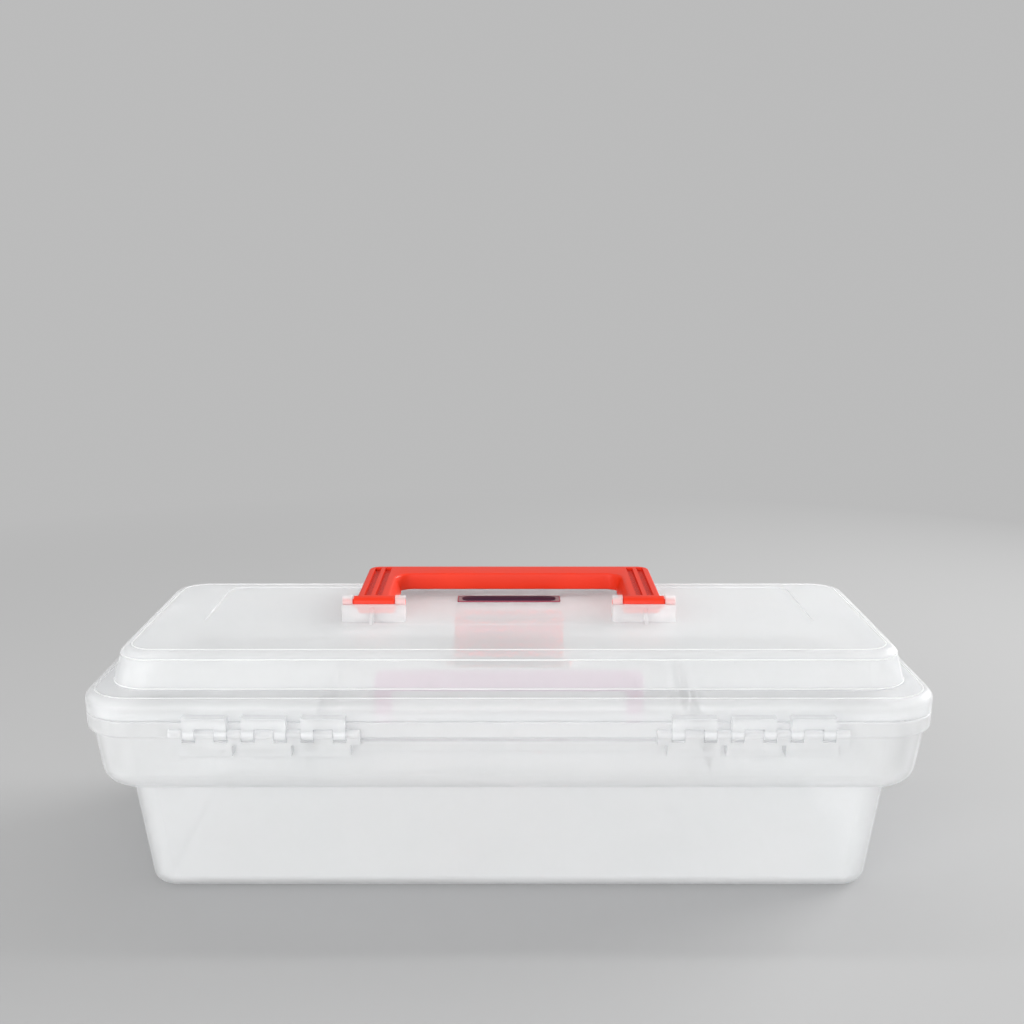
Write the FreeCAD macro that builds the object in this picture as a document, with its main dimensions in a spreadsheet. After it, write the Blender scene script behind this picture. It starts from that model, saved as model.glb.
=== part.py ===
"""Clip-lid tool box moulded in clear plastic, with a folding carry handle, a front latch and a tray.

Frame: +Z up, origin in the middle of the flat base, +X along the length.
The latch is at the front, towards -Y, and the hinge is at the back, towards +Y.
"""
import FreeCAD, Part
import math
import os
import re

import Sketcher
from FreeCAD import Vector

SIZES = [
    ("rim_length", 436, "outside length of the rim, the widest part of the box"),
    ("rim_width", 195, "outside depth of the rim"),
    ("rim_corner", 27, "plan corner radius of the rim"),
    ("parting_height", 100, "height of the plane where the lid meets the tub"),
    ("parting_gap", 0.3, "clearance between the closed lid and the tub's flange"),
    ("parting_round", 0.8, "edge rounding on both sides of the parting line"),
    ("flange_height", 9, "height of the tub's outer flange below the parting plane"),
    ("flange_round", 2, "rounding under the flange"),
    ("flange_reach_end", 3, "how far the flange stands out from the collar at the ends"),
    ("flange_reach_side", 2.3, "how far the flange stands out from the collar at front and back"),
    ("collar_corner", 25, "plan corner radius of the collar"),
    ("collar_flare_end", 3.5, "outward lean of the collar's ends"),
    ("collar_flare_side", 0.6, "outward lean of the collar's front and back"),
    ("collar_round", 10, "rounding of the collar's lower edge"),
    ("collar_wall", 2.6, "wall of the collar"),
    ("ledge_height", 60.5, "height of the underside of the collar"),
    ("ledge_reach_end", 13.5, "overhang of the collar past the lower wall at the ends"),
    ("ledge_reach_side", 10.3, "overhang of the collar past the lower wall at front and back"),
    ("waist_corner", 16, "plan corner radius at the top of the lower wall"),
    ("base_draft_end", 7.5, "inward lean of the lower end walls down to the base"),
    ("base_draft_side", 1.4, "inward lean of the lower front and back walls"),
    ("base_corner", 14, "plan corner radius at the base"),
    ("base_round", 8, "rounding of the base edge"),
    ("floor_thickness", 2.4, "floor of the tub"),
    ("wall", 2.2, "general wall of the tub and the lid"),
    ("upstand_height", 3, "lip of the tub that stands up inside the lid"),
    ("upstand_wall", 2, "thickness of that lip"),
    ("upstand_gap", 0.6, "clearance between the lip and the lid's skirt"),
    ("skirt_height", 10.7, "height of the lid's skirt"),
    ("skirt_round", 5, "rounding along the top of the skirt"),
    ("panel_inset_end", 11.5, "shelf of the lid at the ends, from the rim to the raised panel"),
    ("panel_inset_side", 16.5, "shelf of the lid at front and back"),
    ("panel_corner", 22, "plan corner radius at the foot of the raised panel"),
    ("panel_height", 18, "height of the raised panel above the shelf"),
    ("panel_draft_end", 4.5, "lean of the panel's ends"),
    ("panel_draft_side", 8.5, "lean of the panel's front and back"),
    ("panel_top_corner", 18, "plan corner radius of the panel's top"),
    ("panel_round", 5, "rounding along the panel's top edge"),
    ("panel_inner_round", 3, "the same inside the lid"),
    ("top_thickness", 2.6, "thickness of the lid's shelf and panel"),
    ("field_length", 338, "length of the shallow field sunk into the panel"),
    ("field_back", 20, "back edge of that field, from the middle of the box"),
    ("field_front", 62, "front edge of that field, from the middle of the box"),
    ("field_corner", 9, "plan corner radius of the field"),
    ("field_depth", 0.8, "depth of the field"),
    ("hinge_first", 92, "middle of the innermost hinge tab, from the middle of the box"),
    ("hinge_pitch", 29.5, "spacing of the hinge tabs"),
    ("hinge_standoff", 3.6, "hinge axis behind the rim"),
    ("hinge_drop", 5, "hinge axis below the parting plane"),
    ("hinge_bar_radius", 1.75, "bar that the lid turns on"),
    ("hinge_running_gap", 0.05, "radial clearance of the lid's hooks on the bar"),
    ("hook_wall", 1.3, "thickness of the hooks round the bar"),
    ("hook_mouth", 2.8, "width of the slot that snaps over the bar"),
    ("hinge_side_gap", 0.4, "clearance beside each hook"),
    ("tab_width", 22, "width of a hinge tab on the lid"),
    ("tab_notch", 10, "width of the notch in the tab's lower edge"),
    ("tab_notch_rise", 3.5, "height of the notch above the hinge axis"),
    ("tab_rise", 9, "height of the tab above the hinge axis"),
    ("tab_reach", 2.4, "outer face of the tab behind the hinge axis"),
    ("tab_gap", 0.6, "clearance between the tab and the tub's flange"),
    ("ear_radius", 2.6, "ears and knuckles that carry the bar"),
    ("ear_drop", 5, "depth of the ears below the hinge axis"),
    ("block_width", 26.5, "width of the block under a hinge tab"),
    ("block_drop", 11, "underside of the blocks below the hinge axis"),
    ("block_reach", 2.2, "back face of the blocks behind the hinge axis"),
    ("block_gap", 0.4, "clearance between the hooks and the blocks"),
    ("rail_length", 149, "length of the plain rail between the two hinge groups"),
    ("rail_height", 5, "height of that rail"),
    ("rail_reach", 3, "how far the rail stands out from the rim"),
    ("handle_axis_back", 7.5, "handle axis behind the middle of the box"),
    ("handle_axis_rise", 9, "handle axis above the lid's panel"),
    ("handle_width", 168.8, "width of the handle over its legs"),
    ("handle_leg", 17.6, "width of a leg on its upper side"),
    ("handle_thickness", 10, "thickness of the handle"),
    ("handle_reach", 71, "from the handle axis to the far edge of the grip"),
    ("grip_depth", 18.5, "depth of the grip"),
    ("grip_corner", 7, "outer corner radius of the handle"),
    ("grip_fillet", 10, "inner corner radius of the handle"),
    ("handle_edge", 1.2, "edge rounding of the handle"),
    ("barrel_radius", 3.5, "rounded foot of each leg"),
    ("barrel_overhang", 2, "how far the foot stands out past the leg"),
    ("leg_flare", 3.2, "how much further in the leg and its foot reach on the underside"),
    ("groove_width", 3.8, "each of the two grooves along a leg"),
    ("groove_depth", 2, "depth of the grooves"),
    ("groove_spacing", 6.1, "distance between the middles of the two grooves"),
    ("groove_shift", 0.3, "how far the pair of grooves sits outwards of the leg's middle"),
    ("groove_margin", 4, "from the far edge of the handle to the groove's end"),
    ("pin_radius", 1.9, "pins of the handle and of the latch"),
    ("pin_gap", 0.05, "radial clearance of the pins in their ears"),
    ("pin_side_gap", 0.5, "clearance between a moving foot and the ear beside it"),
    ("bracket_ear", 5.5, "thickness of the ears that hold the handle"),
    ("bracket_ear_radius", 4, "rounded top of those ears"),
    ("bracket_stop_gap", 1, "clearance from the foot to the stop wall behind it"),
    ("bracket_stop", 2.2, "thickness of the stop wall"),
    ("bracket_stop_rise", 9, "height of the stop wall above the panel"),
    ("gusset_reach", 8, "length of the gusset behind the stop wall"),
    ("gusset_width", 2, "thickness of that gusset"),
    ("latch_width", 71, "width of the latch"),
    ("latch_axis_height", 68, "height of the latch axis"),
    ("latch_standoff", 3.2, "latch axis in front of the rim"),
    ("latch_barrel_radius", 3.5, "rounded foot of the latch"),
    ("latch_thickness", 3, "thickness of the latch plate"),
    ("latch_set", 1.7, "inner face of the latch plate in front of the latch axis"),
    ("latch_rise", 34, "height of the latch above its axis"),
    ("latch_lip", 3.2, "how far the finger lip leans out at the top"),
    ("latch_lip_height", 6, "height of the finger lip"),
    ("latch_hook_height", 2.4, "height of the hook inside the latch"),
    ("latch_hook_gap", 0.3, "running clearance between the hook and the catch"),
    ("latch_rib", 1.2, "height of the grip ribs across the latch"),
    ("latch_ear", 4.8, "thickness of the ears that hold the latch"),
    ("latch_ear_radius", 4, "rounded front of those ears"),
    ("catch_width", 56, "width of the catch on the lid's skirt"),
    ("catch_drop", 3.2, "how far the catch hangs below the parting plane"),
    ("catch_gap", 0.5, "clearance between the catch and the tub's flange"),
    ("catch_thickness", 1.8, "thickness of the catch"),
    ("catch_ridge", 1.4, "ridge that the hook closes over"),
    ("catch_ridge_height", 2, "height of the ridge"),
    ("catch_root", 4, "height of the catch on the lid's skirt"),
    ("rib_spacing", 110, "distance between the two ribs that flank the latch"),
    ("outer_rib_spacing", 338, "distance between the two small outer ribs"),
    ("rib_thickness", 2, "thickness of the ribs on the tub's front"),
    ("rib_foot", 6, "foot of the flanking ribs above the ledge"),
    ("outer_rib_height", 16, "height of the outer ribs"),
    ("rib_reach", 2, "how far the outer ribs stand out from the collar"),
    ("tray_gap", 0.8, "side clearance of the tray in the collar"),
    ("tray_seat_gap", 0.3, "clearance under the tray"),
    ("tray_wall", 1.6, "wall and floor of the tray"),
    ("tray_height", 25, "height of the tray's walls"),
    ("tray_flare", 1.4, "outward lean of the tray's ends"),
    ("tray_round_extra", 0.6, "how much softer the tray's lower edge is than the collar's inside"),
    ("divider_drop", 3, "tops of the dividers below the tray's rim"),
    ("divider_thickness", 1.6, "moulded dividers"),
    ("divider_pitch", 104, "spacing of the cross dividers"),
    ("bail_length", 154, "length of the tray's lifting bar"),
    ("bail_rise", 6.6, "top of the lifting bar above the tray's rim"),
    ("bail_bar", 11, "height of the lifting bar"),
    ("bail_thickness", 6, "thickness of the lifting bar and its posts"),
    ("bail_post", 9, "length of the posts at the ends of the lifting bar"),
    ("bail_slot", 13.6, "height of the finger slot under the bar"),
    ("bail_gap", 0.4, "clearance between the lifting bar and the dividers beside it"),
    ("bail_corner", 4, "outer corner radius of the lifting bar"),
    ("bail_fillet", 3, "inner corner radius of the lifting bar"),
    ("plate_length", 60.5, "length of the blank label plate"),
    ("plate_width", 12.2, "width of the label plate"),
    ("plate_corner", 3, "corner radius of the label plate"),
    ("plate_thickness", 0.8, "thickness of the label plate"),
    ("plate_forward", 34.5, "middle of the label plate in front of the middle of the box"),
]

WORDS = re.compile(r"\b(" + "|".join(name for name, _, _ in SIZES) + r")\b")
HALF_TURN = math.pi / 2
SIDES = (-1, 1)
STATIONS = (0, 1, 2)
OVERCUT = "1"

doc = FreeCAD.newDocument("tool_box")
sheet = doc.addObject("Spreadsheet::Sheet", "sizes")


def fill_sheet():
    """Write each driving dimension into the sheet, with its name as the cell's alias."""
    for row, (name, value, meaning) in enumerate(SIZES, start=1):
        sheet.set(f"A{row}", name)
        sheet.set(f"B{row}", str(value))
        sheet.set(f"C{row}", meaning)
        sheet.setAlias(f"B{row}", name)
    doc.recompute()


def bind(item, path, formula):
    """Tie one property to a formula written in the sheet's words."""
    item.setExpression(path, WORDS.sub(r"sizes.\1", str(formula)))


def inset(outline, end, side, corner=None):
    """Move an outline (half length, half width, corner) inwards by two separate amounts."""
    half_length, half_width, old_corner = outline
    return (f"{half_length} - ({end})", f"{half_width} - ({side})", corner or old_corner)


def offset_in(outline, distance):
    """Move an outline inwards by one distance, with its corners concentric."""
    half_length, half_width, corner = outline
    return (f"{half_length} - ({distance})", f"{half_width} - ({distance})", f"{corner} - ({distance})")


RIM = ("rim_length / 2", "rim_width / 2", "rim_corner")
COLLAR_TOP = inset(RIM, "flange_reach_end", "flange_reach_side", "collar_corner")
COLLAR_LOW = inset(COLLAR_TOP, "collar_flare_end", "collar_flare_side")
WAIST = inset(COLLAR_LOW, "ledge_reach_end", "ledge_reach_side", "waist_corner")
BASE = inset(WAIST, "base_draft_end", "base_draft_side", "base_corner")
UPSTAND = offset_in(COLLAR_TOP, "collar_wall - upstand_wall")
SKIRT_INSIDE = offset_in(UPSTAND, "0 - upstand_gap")
PANEL_LOW = inset(RIM, "panel_inset_end", "panel_inset_side", "panel_corner")
PANEL_TOP = inset(PANEL_LOW, "panel_draft_end", "panel_draft_side", "panel_top_corner")
TRAY_LOW = offset_in(COLLAR_LOW, "collar_wall + tray_gap")
TRAY_TOP = inset(TRAY_LOW, "0 - tray_flare", "0")

FLANGE_BASE = "parting_height - flange_height"
LEDGE_TOP = "ledge_height + wall"
LID_BASE = "parting_height + parting_gap"
SHELF_TOP = "parting_height + parting_gap + skirt_height"
PANEL_TOP_HEIGHT = SHELF_TOP + " + panel_height"
FIELD_FLOOR = PANEL_TOP_HEIGHT + " - field_depth"
BACK_WALL = "rim_width / 2 - flange_reach_side - wall"
HINGE_Y = "rim_width / 2 + hinge_standoff"
HINGE_Z = "parting_height - hinge_drop"
HOOK_BORE = "hinge_bar_radius + hinge_running_gap"
HOOK_RADIUS = HOOK_BORE + " + hook_wall"
HANDLE_Z = PANEL_TOP_HEIGHT + " + handle_axis_rise"
HANDLE_TOP = HANDLE_Z + " + barrel_radius"
BARREL_OUTER = "handle_width / 2 + barrel_overhang"
BARREL_INNER = "handle_width / 2 - handle_leg - leg_flare"
OUTER_EAR = BARREL_OUTER + " + pin_side_gap"
INNER_EAR = BARREL_INNER + " - pin_side_gap"
LATCH_Y = "0 - rim_width / 2 - latch_standoff"
LATCH_INNER = LATCH_Y + " - latch_set"
LATCH_EAR = "latch_width / 2 + pin_side_gap"
CATCH_BACK = "0 - rim_width / 2 - catch_gap"
CATCH_FACE = CATCH_BACK + " - catch_thickness"
TRAY_BASE = LEDGE_TOP + " + tray_seat_gap"
TRAY_FLOOR = TRAY_BASE + " + tray_wall"
TRAY_RIM = TRAY_BASE + " + tray_height"
TRAY_ROUND = "collar_round - collar_wall + tray_round_extra"
BAIL_SLOT_BASE = TRAY_RIM + " + bail_rise - bail_bar - bail_slot"


def new_body(label):
    """Start a body whose label names the sub-part."""
    body = doc.addObject("PartDesign::Body", label)
    body.Label = label
    return body


def new_sketch(body, name, role, level, across="0"):
    """Add a sketch on one of the body's own planes, moved along its normal and its second axis."""
    plane = [item for item in body.Origin.OriginFeatures if item.Role == role][0]
    sketch = body.newObject("Sketcher::SketchObject", name)
    sketch.AttachmentSupport = [(plane, "")]
    sketch.MapMode = "FlatFace"
    bind(sketch, "AttachmentOffset.Base.y", across)
    bind(sketch, "AttachmentOffset.Base.z", level)
    return sketch


def named_constraint(sketch, constraint, name, formula):
    """Add a constraint and bind its value."""
    index = sketch.addConstraint(constraint)
    sketch.renameConstraint(index, name)
    bind(sketch, f"Constraints.{name}", formula)


def rounded_outline(body, name, level, outline, middle=None):
    """Draw a rounded rectangle, centred on the origin or on a point of the Y axis."""
    half_length, half_width, corner = outline
    sketch = new_sketch(body, name, "XY_Plane", level, middle or "0")
    length, width, radius = 120.0, 80.0, 10.0
    up = Vector(0, 0, 1)
    corners = [(1, -1), (1, 1), (-1, 1), (-1, -1)]
    for turn, (side_x, side_y) in enumerate(corners):
        start = Vector(side_x * (length - radius), side_y * width, 0)
        end = Vector(side_x * length, side_y * (width - radius), 0)
        if turn % 2:
            start, end = end, start
        previous_x, previous_y = corners[turn - 1]
        if turn % 2:
            line_start = Vector(previous_x * length, previous_y * (width - radius), 0)
        else:
            line_start = Vector(previous_x * (length - radius), previous_y * width, 0)
        sketch.addGeometry(Part.LineSegment(line_start, start), False)
        centre = Vector(side_x * (length - radius), side_y * (width - radius), 0)
        angle = (turn - 1) * HALF_TURN
        sketch.addGeometry(Part.ArcOfCircle(Part.Circle(centre, up, radius), angle, angle + HALF_TURN), False)
    for piece in range(8):
        sketch.addConstraint(Sketcher.Constraint("Tangent", piece, 2, (piece + 1) % 8, 1))
    for line in (4, 6):
        sketch.addConstraint(Sketcher.Constraint("Horizontal" if line == 4 else "Vertical", line))
    for arc in (3, 5, 7):
        sketch.addConstraint(Sketcher.Constraint("Equal", 1, arc))
    sketch.addConstraint(Sketcher.Constraint("Symmetric", 0, 1, 0, 2, -2))
    sketch.addConstraint(Sketcher.Constraint("Symmetric", 2, 1, 2, 2, -1))
    reach = Sketcher.Constraint("DistanceX", -1, 1, 2, 1, length)
    named_constraint(sketch, reach, "half_length", half_length)
    named_constraint(sketch, Sketcher.Constraint("DistanceY", -1, 1, 4, 1, width), "half_width", half_width)
    named_constraint(sketch, Sketcher.Constraint("Radius", 1, radius), "corner", corner)
    return sketch


def draw_polygon(sketch, corners):
    """Draw a closed polygon in a sketch, with both coordinates of each corner bound."""
    first = sketch.GeometryCount
    count = len(corners)
    turns = [4 * HALF_TURN * n / count for n in range(count)]
    spots = [Vector(20 * math.cos(turn) + first, 20 * math.sin(turn), 0) for turn in turns]
    for n in range(count):
        sketch.addGeometry(Part.LineSegment(spots[n], spots[(n + 1) % count]), False)
    for n in range(count):
        sketch.addConstraint(Sketcher.Constraint("Coincident", first + n, 2, first + (n + 1) % count, 1))
    for n, (across, along) in enumerate(corners):
        spot = spots[n]
        named_constraint(sketch, Sketcher.Constraint("DistanceX", -1, 1, first + n, 1, spot.x),
                         f"across{first + n}", across)
        named_constraint(sketch, Sketcher.Constraint("DistanceY", -1, 1, first + n, 1, spot.y),
                         f"along{first + n}", along)


def draw_rectangles(sketch, rectangles):
    """Draw rectangles, each given as low and high formulas along the sketch's two axes."""
    for low_x, high_x, low_y, high_y in rectangles:
        draw_polygon(sketch, [(low_x, low_y), (high_x, low_y), (high_x, high_y), (low_x, high_y)])


def mirrored_span(side, near, far):
    """Give the low and high X of a span that lies between two distances on one side."""
    if side > 0:
        return near, far
    return f"0 - ({far})", f"0 - ({near})"


def extrude(body, name, sketch, length, cut=False, backwards=False, middle=False):
    """Pad a sketch, or pocket it, along its normal."""
    feature = body.newObject("PartDesign::Pocket" if cut else "PartDesign::Pad", name)
    feature.Profile = sketch
    feature.SideType = "Symmetric" if middle else "One side"
    feature.Reversed = backwards != cut
    bind(feature, "Length", length)
    return feature


def loft(body, name, lower, upper, cut=False):
    """Join two outlines with straight walls, as material or as a hollow."""
    feature = body.newObject("PartDesign::SubtractiveLoft" if cut else "PartDesign::AdditiveLoft", name)
    feature.Profile = lower
    feature.Sections = [upper]
    feature.Ruled = True
    return feature


def revolve(body, name, sketch, cut=False):
    """Turn a sketch once round its own first axis."""
    feature = body.newObject("PartDesign::Groove" if cut else "PartDesign::Revolution", name)
    feature.Profile = sketch
    feature.ReferenceAxis = (sketch, ["H_Axis"])
    feature.Angle = 360
    return feature


def edges_on(shape, sketch):
    """Name the edges of a shape that lie on a sketch's outline."""
    names = []
    for number, edge in enumerate(shape.Edges, start=1):
        middle = edge.valueAt((edge.FirstParameter + edge.LastParameter) / 2)
        points = [edge.Vertexes[0].Point, edge.Vertexes[-1].Point, middle]
        if all(Part.Vertex(point).distToShape(sketch.Shape)[0] < 0.001 for point in points):
            names.append(f"Edge{number}")
    return names


def edges_where(shape, test):
    """Name the edges whose bounding box passes a test."""
    return [f"Edge{number}" for number, edge in enumerate(shape.Edges, start=1) if test(edge.BoundBox)]


def round_edges(body, name, radius, sketch=None, test=None):
    """Round the edges of the body's latest shape that lie on a sketch or pass a test."""
    doc.recompute()
    base = body.Tip
    names = edges_on(base.Shape, sketch) if sketch else edges_where(base.Shape, test)
    if not names:
        raise RuntimeError(f"{body.Label}: no edges found for {name}")
    feature = body.newObject("PartDesign::Fillet", name)
    feature.Base = (base, names)
    bind(feature, "Radius", radius)
    doc.recompute()
    return feature


def block_row(body, name, plans, low_z, high_z, cut=False):
    """Add or cut upright blocks that share their lower and upper level."""
    sketch = new_sketch(body, name + "_plan", "XY_Plane", low_z)
    draw_rectangles(sketch, plans)
    feature = body.newObject("PartDesign::Pocket" if cut else "PartDesign::Pad", name)
    feature.Profile = sketch
    feature.Reversed = cut
    bind(feature, "Length", f"{high_z} - ({low_z})")
    return feature


def turned_row(body, name, axis_y, axis_z, spans, radius, cut=False):
    """Add or cut round bars along X on one axis, over several spans."""
    sketch = new_sketch(body, name + "_profile", "XY_Plane", axis_z, axis_y)
    draw_rectangles(sketch, [(low, high, "0", radius) for low, high in spans])
    return revolve(body, name, sketch, cut)


def mirror_left(body):
    """Repeat everything in a body on the other side of the middle plane."""
    plane = [item for item in body.Origin.OriginFeatures if item.Role == "YZ_Plane"][0]
    feature = body.newObject("PartDesign::Mirrored", "left_side")
    feature.TransformMode = "Whole shape"
    feature.MirrorPlane = (plane, [""])
    body.Tip = feature


def join(body, fittings):
    """Mould a body of fittings onto another body."""
    feature = body.newObject("PartDesign::Boolean", "moulded_on")
    feature.Type = "Fuse"
    feature.setObjects([fittings])


def station(number):
    """Middle of a hinge tab, counted outwards from the middle of the box."""
    return f"hinge_first + {number} * hinge_pitch"


def around(middle, half_width):
    """Distances on both sides of a middle."""
    return f"{middle} - ({half_width})", f"{middle} + ({half_width})"


def ear_spans():
    """X spans of the ears that carry the right hinge bar, one more than its tabs."""
    half = "(hinge_pitch - tab_width) / 2 - hinge_side_gap"
    numbers = (*STATIONS, len(STATIONS))
    return [around(f"hinge_first + ({number} - 0.5) * hinge_pitch", half) for number in numbers]


def knuckle_spans():
    """X spans of the short knuckles in the notches of the hinge tabs."""
    return [around(station(number), "tab_notch / 2 - hinge_side_gap") for number in STATIONS]


def hook_spans():
    """X spans of the two hooks under each hinge tab."""
    spans = []
    for number in STATIONS:
        middle = station(number)
        spans.append((f"{middle} - tab_width / 2", f"{middle} - tab_notch / 2"))
        spans.append((f"{middle} + tab_notch / 2", f"{middle} + tab_width / 2"))
    return spans


def tub_shell(body):
    """Lower tub, collar, flange and upstand, hollowed out, with every long edge rounded."""
    base = rounded_outline(body, "base_outline", "0", BASE)
    waist = rounded_outline(body, "waist_outline", "ledge_height", WAIST)
    loft(body, "lower_wall", base, waist)
    collar_low = rounded_outline(body, "collar_low_outline", "ledge_height", COLLAR_LOW)
    collar_top = rounded_outline(body, "collar_top_outline", FLANGE_BASE, COLLAR_TOP)
    loft(body, "collar", collar_low, collar_top)
    flange_low = rounded_outline(body, "flange_outline", FLANGE_BASE, RIM)
    extrude(body, "flange", flange_low, "flange_height")
    upstand = rounded_outline(body, "upstand_outline", "parting_height", UPSTAND)
    extrude(body, "upstand", upstand, "upstand_height")
    tub_hollow(body)
    flange_top = rounded_outline(body, "flange_top_outline", "parting_height", RIM)
    round_edges(body, "collar_edge", "collar_round", collar_low)
    round_edges(body, "base_edge", "base_round", base)
    round_edges(body, "flange_under_edge", "flange_round", flange_low)
    round_edges(body, "flange_top_edge", "parting_round", flange_top)


def tub_hollow(body):
    """Cut the room for the tray, and the deep tub below the ledge."""
    room_low = rounded_outline(body, "room_low_outline", LEDGE_TOP, offset_in(COLLAR_LOW, "collar_wall"))
    room_top = rounded_outline(body, "room_top_outline", f"parting_height + upstand_height + {OVERCUT}",
                               offset_in(COLLAR_TOP, "collar_wall"))
    loft(body, "tray_room", room_low, room_top, cut=True)
    floor = rounded_outline(body, "floor_outline", "floor_thickness", offset_in(BASE, "wall"))
    mouth = rounded_outline(body, "mouth_outline", LEDGE_TOP, offset_in(WAIST, "wall"))
    loft(body, "deep_room", floor, mouth, cut=True)
    round_edges(body, "ledge_inner_edge", "collar_round - collar_wall", room_low)
    round_edges(body, "floor_inner_edge", "base_round - wall", floor)


def tub_hinge(body):
    """Blocks, ears, knuckles and bar of the right hinge, and half of the rail in the middle."""
    back = f"{HINGE_Y} + block_reach"
    blocks = [(*around(station(number), "block_width / 2"), BACK_WALL, back) for number in STATIONS]
    block_top = f"{HINGE_Z} - ({HOOK_RADIUS}) - block_gap"
    block_row(body, "hinge_blocks", blocks, f"{HINGE_Z} - block_drop", block_top)
    carriers = ear_spans() + knuckle_spans()
    webs = [(low, high, BACK_WALL, back) for low, high in carriers]
    block_row(body, "hinge_webs", webs, f"{HINGE_Z} - ear_drop", HINGE_Z)
    turned_row(body, "hinge_ears", HINGE_Y, HINGE_Z, carriers, "ear_radius")
    bar = ("hinge_first - hinge_pitch / 2", f"hinge_first + ({len(STATIONS)} - 0.5) * hinge_pitch")
    turned_row(body, "hinge_bar", HINGE_Y, HINGE_Z, [bar], "hinge_bar_radius")
    rail = ("0", "rail_length / 2", BACK_WALL, "rim_width / 2 + rail_reach")
    block_row(body, "back_rail", [rail], f"{FLANGE_BASE} - rail_height", FLANGE_BASE)


def tub_front(body):
    """Right ear that holds the latch, and the upright ribs beside it."""
    front_wall = f"0 - ({BACK_WALL})"
    span = (LATCH_EAR, f"{LATCH_EAR} + latch_ear")
    block_row(body, "latch_ear_web", [(*span, LATCH_Y, front_wall)], "latch_axis_height - latch_ear_radius",
              "latch_axis_height + latch_ear_radius")
    turned_row(body, "latch_ear_front", LATCH_Y, "latch_axis_height", [span], "latch_ear_radius")
    turned_row(body, "latch_ear_bore", LATCH_Y, "latch_axis_height", [span], "pin_radius + pin_gap", cut=True)
    foot = f"{LEDGE_TOP} + rib_foot"
    flanking = (*around("rib_spacing / 2", "rib_thickness / 2"), "0 - rim_width / 2", front_wall)
    block_row(body, "flanking_rib", [flanking], foot, FLANGE_BASE)
    face = f"{front_wall} - wall - rib_reach"
    outer = (*around("outer_rib_spacing / 2", "rib_thickness / 2"), face, front_wall)
    block_row(body, "outer_rib", [outer], foot, f"{foot} + outer_rib_height")


def make_tub():
    """The open tub with its ledge, flange, hinge bars and latch ears."""
    fittings = new_body("tub_fittings")
    tub_hinge(fittings)
    tub_front(fittings)
    mirror_left(fittings)
    body = new_body("tub")
    tub_shell(body)
    join(body, fittings)
    return body


def lid_shell(body):
    """Skirt, shelf and raised panel of the lid, with the hollow under them."""
    skirt = rounded_outline(body, "skirt_outline", LID_BASE, RIM)
    extrude(body, "skirt", skirt, "skirt_height")
    round_edges(body, "skirt_lower_edge", "parting_round", skirt)
    shelf = rounded_outline(body, "shelf_outline", SHELF_TOP, RIM)
    round_edges(body, "skirt_upper_edge", "skirt_round", shelf)
    panel_low = rounded_outline(body, "panel_low_outline", SHELF_TOP, PANEL_LOW)
    panel_top = rounded_outline(body, "panel_top_outline", PANEL_TOP_HEIGHT, PANEL_TOP)
    loft(body, "panel", panel_low, panel_top)
    round_edges(body, "panel_edge", "panel_round", panel_top)
    mouth = rounded_outline(body, "lid_mouth_outline", LID_BASE, SKIRT_INSIDE)
    extrude(body, "skirt_hollow", mouth, "skirt_height - top_thickness", cut=True)
    inner_low = rounded_outline(body, "inner_low_outline", f"{SHELF_TOP} - top_thickness",
                                offset_in(PANEL_LOW, "wall"))
    inner_top = rounded_outline(body, "inner_top_outline", f"{PANEL_TOP_HEIGHT} - top_thickness",
                                offset_in(PANEL_TOP, "wall"))
    loft(body, "panel_hollow", inner_low, inner_top, cut=True)
    round_edges(body, "panel_inner_edge", "panel_inner_round", inner_top)
    field = ("field_length / 2", "(field_front + field_back) / 2", "field_corner")
    field_plan = rounded_outline(body, "field_outline", FIELD_FLOOR, field, "(field_back - field_front) / 2")
    feature = extrude(body, "panel_field", field_plan, f"field_depth + {OVERCUT}", cut=True)
    feature.Reversed = True


def lid_hinge(body):
    """Three tabs of the right hinge that hang from the skirt and hook over the tub's bar."""
    inner = "rim_width / 2 + tab_gap"
    outer = f"{HINGE_Y} + tab_reach"
    spans = [around(station(number), "tab_width / 2") for number in STATIONS]
    roots = [(*span, "rim_width / 2 - wall / 2", outer) for span in spans]
    plates = [(*span, inner, outer) for span in spans]
    notches = [(*around(station(number), "tab_notch / 2"), "rim_width / 2", f"{outer} + {OVERCUT}")
               for number in STATIONS]
    block_row(body, "tab_roots", roots, LID_BASE, f"{HINGE_Z} + tab_rise")
    block_row(body, "tab_plates", plates, HINGE_Z, LID_BASE)
    turned_row(body, "tab_hooks", HINGE_Y, HINGE_Z, hook_spans(), HOOK_RADIUS)
    block_row(body, "tab_notches", notches, f"{HINGE_Z} - {OVERCUT}", f"{HINGE_Z} + tab_notch_rise", cut=True)
    turned_row(body, "hook_bores", HINGE_Y, HINGE_Z, hook_spans(), HOOK_BORE, cut=True)
    mouths = [(*span, *around(HINGE_Y, "hook_mouth / 2")) for span in hook_spans()]
    block_row(body, "hook_mouths", mouths, f"{HINGE_Z} - ({HOOK_RADIUS}) - {OVERCUT}", HINGE_Z, cut=True)


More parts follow.
